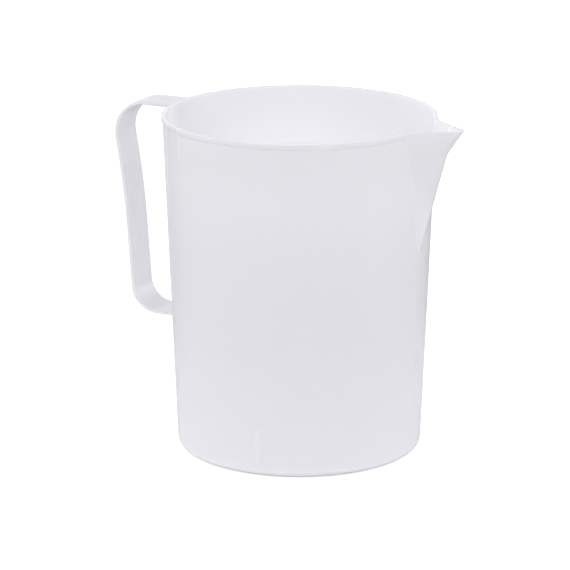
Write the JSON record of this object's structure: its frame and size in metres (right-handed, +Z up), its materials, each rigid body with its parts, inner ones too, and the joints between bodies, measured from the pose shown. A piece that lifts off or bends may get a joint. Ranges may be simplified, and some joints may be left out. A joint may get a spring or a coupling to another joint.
{
  "type": "measuring jug",
  "caption": "Large plain measuring jug of translucent plastic with a tapering round body, a V-shaped pouring spout and an open strap handle opposite it.",
  "frame": {"origin": "centre of the flat underside, on the axis of the round body", "axes": "+Z up through the open mouth, +X from the axis towards the spout, -X towards the handle"},
  "size_m": [0.2544, 0.1854, 0.2293],
  "materials": {
    "plastic": "milky translucent natural polypropylene, semi-gloss, cool white"
  },
  "bodies": {
    "root": {"jug": "plastic"}
  },
  "joints": []
}
